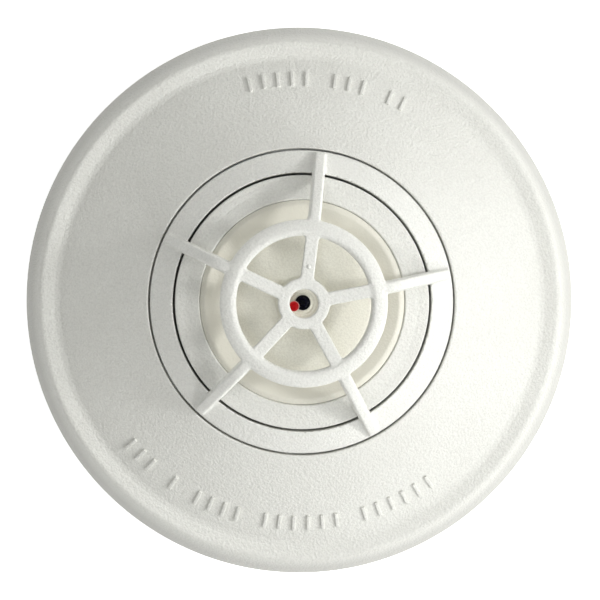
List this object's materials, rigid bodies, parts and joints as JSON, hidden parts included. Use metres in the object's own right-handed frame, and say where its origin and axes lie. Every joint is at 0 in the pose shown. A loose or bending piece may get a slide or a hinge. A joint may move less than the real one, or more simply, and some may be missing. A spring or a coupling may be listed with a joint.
{
  "type": "heat detector",
  "caption": "Round white ceiling heat detector: sloped brim, open armed wheel guard over a recessed cap, twist-off head on a slotted mounting bracket.",
  "frame": {"origin": "centre of the mounting bracket's back plane", "axes": "+Z out of the detecting face, away from the wall or ceiling; +Y along one arm of the guard; +X to the right seen from the face"},
  "size_m": [0.116, 0.116, 0.043],
  "materials": {
    "white_plastic": "fine spark-eroded texture",
    "cream_plastic": "fine matt texture, warm cream",
    "back_plastic": "plain moulded",
    "black_element": "gloss black",
    "red_tip": "satin red",
    "brass": "plain",
    "zinc_steel": "zinc plated",
    "spring_steel": "drawn wire",
    "fusible_alloy": "dull cast alloy",
    "black_rubber": "moulded",
    "insulator": "pressed phenolic"
  },
  "bodies": {
    "bracket": {"mounting_bracket": "back_plastic"},
    "head": {"rear_housing": "back_plastic", "chassis_plate": "back_plastic", "front_cover": "white_plastic", "guard_cage": "white_plastic", "collar_ring": "white_plastic", "chamber_cap": "cream_plastic", "chamber_gasket": "black_rubber", "vent_plug": "brass", "fusible_ring": "fusible_alloy", "plunger_spring": "spring_steel", "diaphragm": "black_rubber", "diaphragm_clamp_ring": "zinc_steel", "trip_leaf_holder": "insulator", "trip_fixed_contact": "brass", "rise_leaf_holder": "insulator", "rise_fixed_contact": "brass", "setting_screw": "brass", "terminal_plate_1": "brass", "terminal_plate_2": "brass", "terminal_plate_3": "brass", "terminal_plate_4": "brass", "terminal_screw_1": "zinc_steel", "terminal_screw_2": "zinc_steel", "terminal_screw_3": "zinc_steel", "terminal_screw_4": "zinc_steel", "wire_clamp_1": "zinc_steel", "wire_clamp_2": "zinc_steel", "wire_clamp_3": "zinc_steel", "wire_clamp_4": "zinc_steel", "housing_screw_1": "zinc_steel", "housing_screw_2": "zinc_steel", "housing_screw_3": "zinc_steel"},
    "plunger": {"plunger_pin": "brass", "heat_collector": "black_element", "indicator_pin": "red_tip"},
    "trip_leaf": {"trip_contact_leaf": "brass"},
    "rise_pin": {"diaphragm_pin": "back_plastic"},
    "rise_leaf": {"rise_contact_leaf": "brass"}
  },
  "joints": [
    {"name": "head_twist", "type": "hinge", "parent": "bracket", "child": "head", "pos_m": [0, 0, 0.0045], "axis": [0, 0, 1], "range_deg": [0, 20]},
    {"name": "plunger_slide", "type": "slide", "parent": "head", "child": "plunger", "axis": [0, 0, 1], "range_m": [0, 0.0012], "deforming": ["plunger_spring"]},
    {"name": "trip_leaf_hinge", "type": "hinge", "parent": "head", "child": "trip_leaf", "pos_m": [-0.0103, 0, 0.01105], "axis": [0, -1, 0], "range_deg": [0, 6.8]},
    {"name": "diaphragm_pin_slide", "type": "slide", "parent": "head", "child": "rise_pin", "axis": [0, 0, -1], "range_m": [0, 0.0006], "stiffness_N_per_m": 50, "deforming": ["diaphragm"]},
    {"name": "rise_leaf_hinge", "type": "hinge", "parent": "head", "child": "rise_leaf", "pos_m": [0.0209, 0, 0.0116], "axis": [0, -1, 0], "range_deg": [0, 3.6]}
  ],
  "couplings": [
    {"joint": "trip_leaf_hinge", "follows": "plunger_slide", "rad_per_m": 97.087},
    {"joint": "rise_leaf_hinge", "follows": "diaphragm_pin_slide", "rad_per_m": 101.01}
  ]
}
